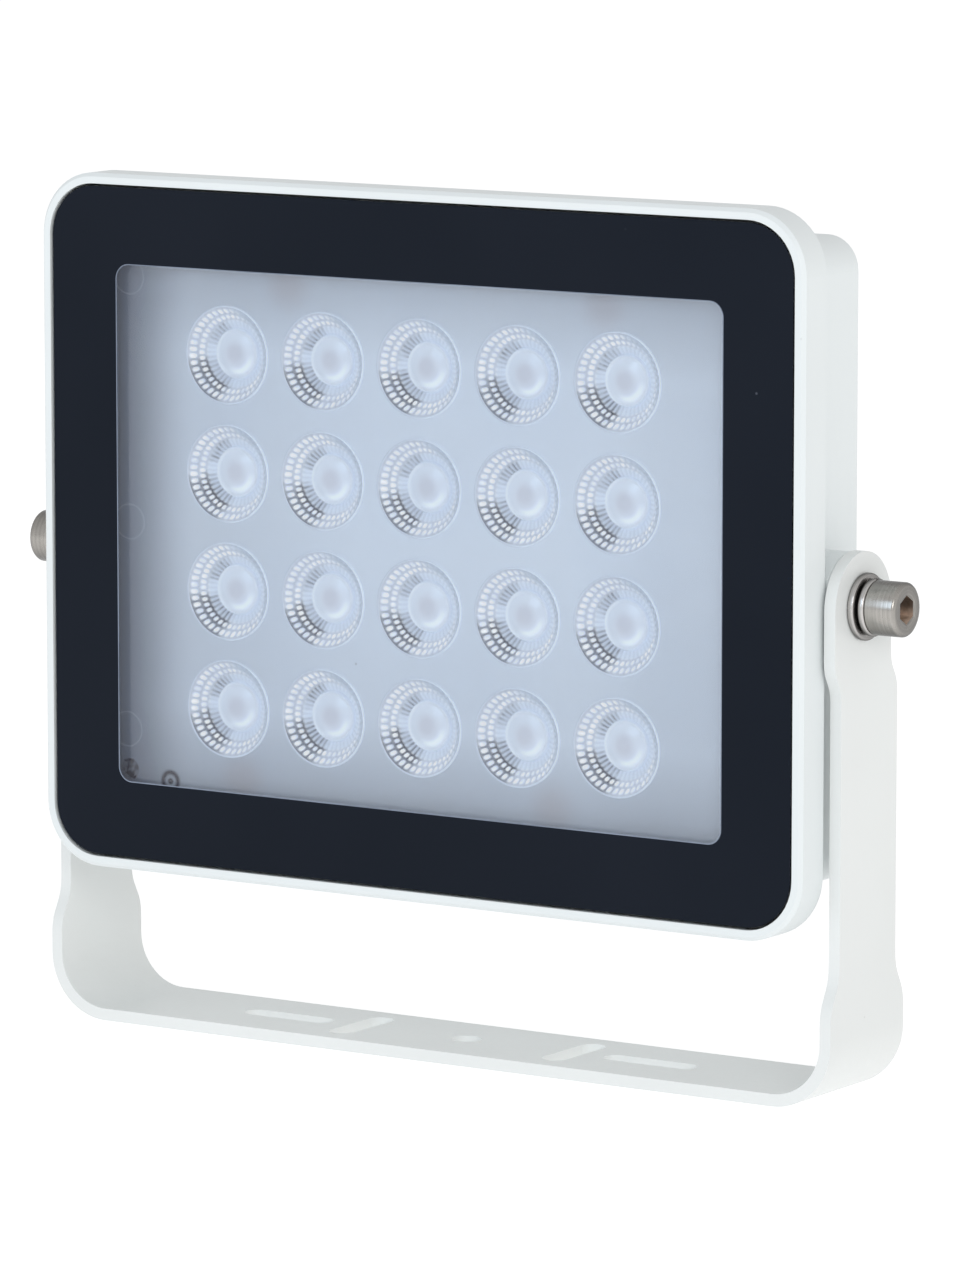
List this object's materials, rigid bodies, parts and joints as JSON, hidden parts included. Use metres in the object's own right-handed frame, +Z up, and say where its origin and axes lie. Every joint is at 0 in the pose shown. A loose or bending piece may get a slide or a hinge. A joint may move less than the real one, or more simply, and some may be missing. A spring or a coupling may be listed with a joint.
{
  "type": "infrared illuminator",
  "caption": "Flat infrared flood lamp: dark-bordered front glass over clear lenses, finned cast housing, and a slotted U bracket in which the head tilts.",
  "frame": {"origin": "on the underside of the bracket's base, at the axis of its centre hole", "axes": "+X along the tilt axis, to the right when the lit side is seen; +Z up; -Y is the way the lamp shines at rest"},
  "size_m": [0.2496, 0.075, 0.2126],
  "materials": {
    "bracket_coat": "satin white powder coat on folded steel sheet",
    "casting_coat": "satin white powder coat on die-cast aluminium",
    "front_glass": "clear toughened glass, polished",
    "border_print": "near-black enamel print seen as gloss through the glass",
    "lens_clear": "clear moulded plastic, polished lenses in a frosted plate",
    "seal_rubber": "black silicone rubber",
    "pad_rubber": "grey thermal pad",
    "led_board_metal": "metal-core board with white solder mask",
    "emitter": "small emitter packages with clear caps",
    "driver_board_green": "glass-fibre board with green solder mask",
    "chip_black": "moulded chip packages",
    "ferrite": "dark ferrite cores with wound coils",
    "capacitor_can": "sleeved aluminium cans",
    "terminal_green": "moulded terminal block",
    "gland_black": "black moulded nylon",
    "stainless_steel": "plain stainless steel"
  },
  "bodies": {
    "bracket": {"mounting_bracket": "bracket_coat"},
    "lamp_head": {"front_frame": "casting_coat", "housing": "casting_coat", "rear_cover": "casting_coat", "front_glass": "front_glass", "glass_border": "border_print", "lens_plate": "lens_clear", "glass_gasket": "seal_rubber", "body_gasket": "seal_rubber", "cover_gasket": "seal_rubber", "wire_grommet": "seal_rubber", "gland_seal": "seal_rubber", "thermal_pad": "pad_rubber", "led_board": "led_board_metal", "led_chips": "emitter", "driver_board": "driver_board_green", "driver_chips": "chip_black", "driver_transformer": "ferrite", "driver_choke": "ferrite", "driver_capacitors": "capacitor_can", "terminal_block": "terminal_green", "gland_body": "gland_black", "gland_nut": "gland_black", "gland_locknut": "gland_black", "vent_plug": "gland_black", "lens_screws": "stainless_steel", "board_screws": "stainless_steel", "frame_screws": "stainless_steel", "driver_board_screws": "stainless_steel", "cover_screws": "stainless_steel", "clamp_screws": "stainless_steel", "flat_washers": "stainless_steel", "spring_washers": "stainless_steel"}
  },
  "joints": [
    {"name": "tilt", "type": "hinge", "parent": "bracket", "child": "lamp_head", "pos_m": [0, -0.0031, 0.1187], "axis": [1, 0, 0], "range_deg": [-90, 90]}
  ]
}
